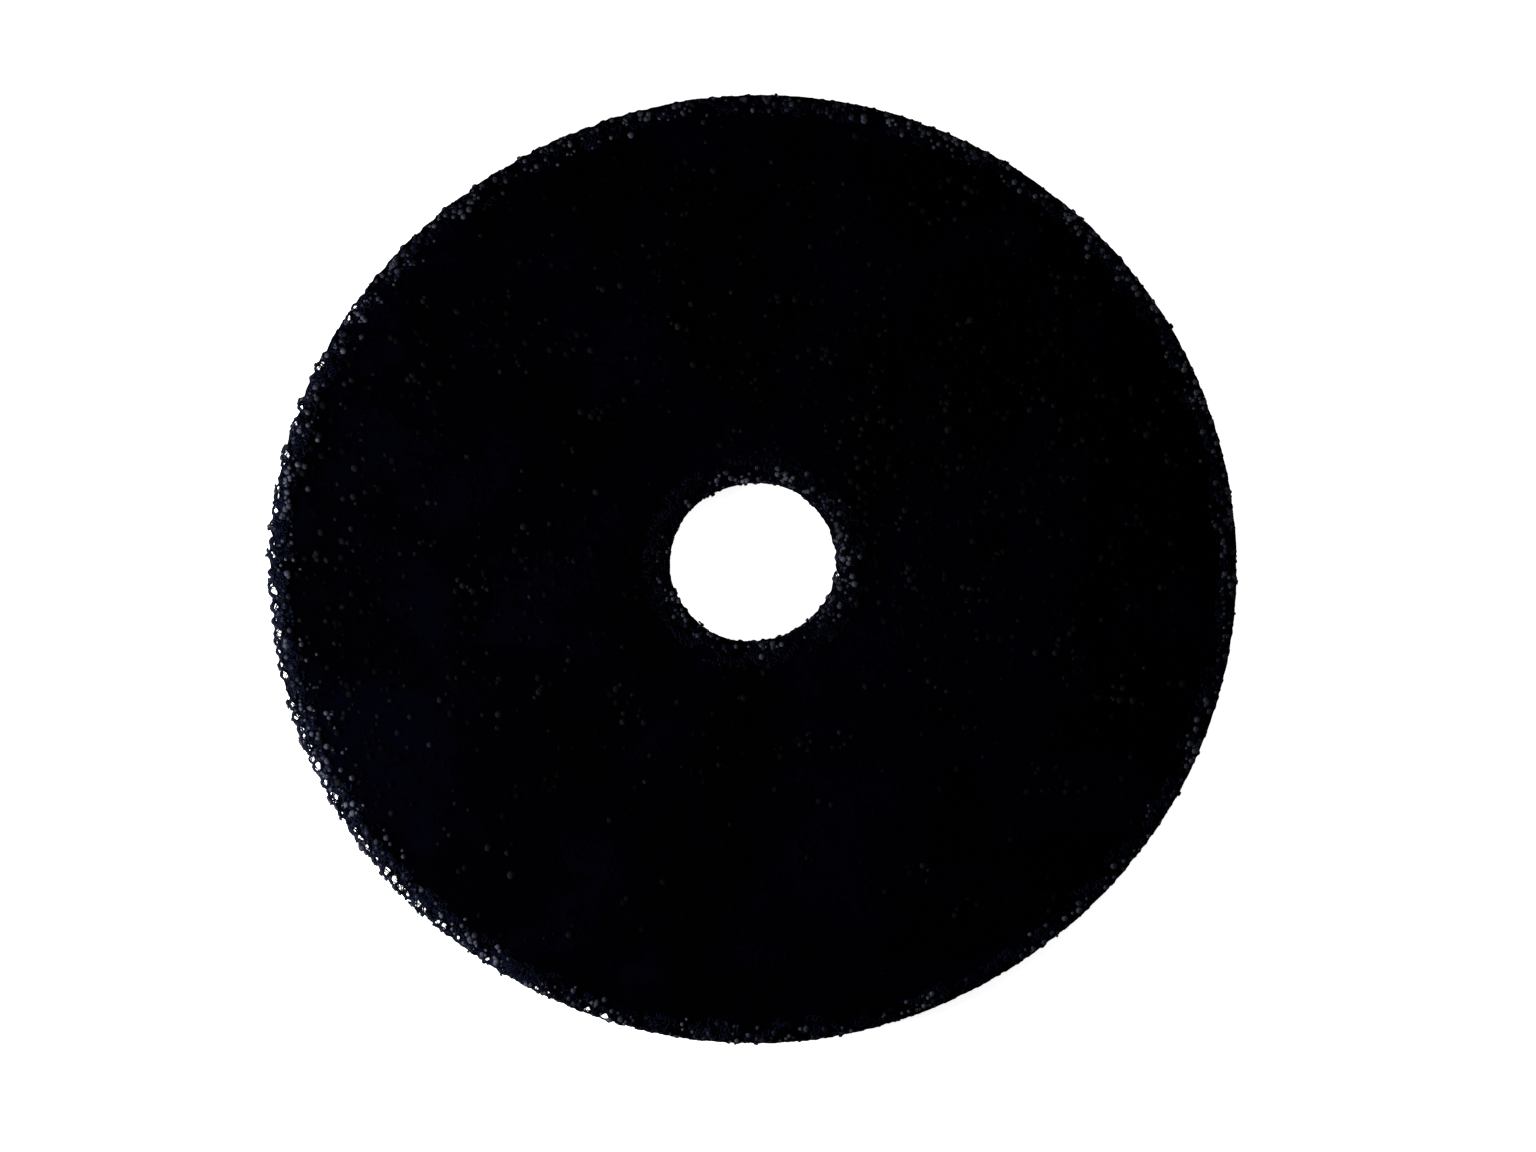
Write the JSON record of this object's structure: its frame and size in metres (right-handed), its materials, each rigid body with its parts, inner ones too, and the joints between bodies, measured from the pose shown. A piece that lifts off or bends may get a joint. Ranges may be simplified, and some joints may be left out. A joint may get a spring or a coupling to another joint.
{
  "type": "floor polishing pad",
  "caption": "Thick round pad of open black abrasive fibre web with ragged cut edges and a round centre hole, for a rotary floor machine.",
  "frame": {"origin": "centre of the outline on the working face, the face the pad lies on", "axes": "+Z out of the driver face, +X along the outline's long way, +Y towards the hole's offset"},
  "size_m": [0.5162, 0.5025, 0.025],
  "materials": {
    "fibre_web": "matte"
  },
  "bodies": {
    "root": {"pad": "fibre_web"}
  },
  "joints": []
}
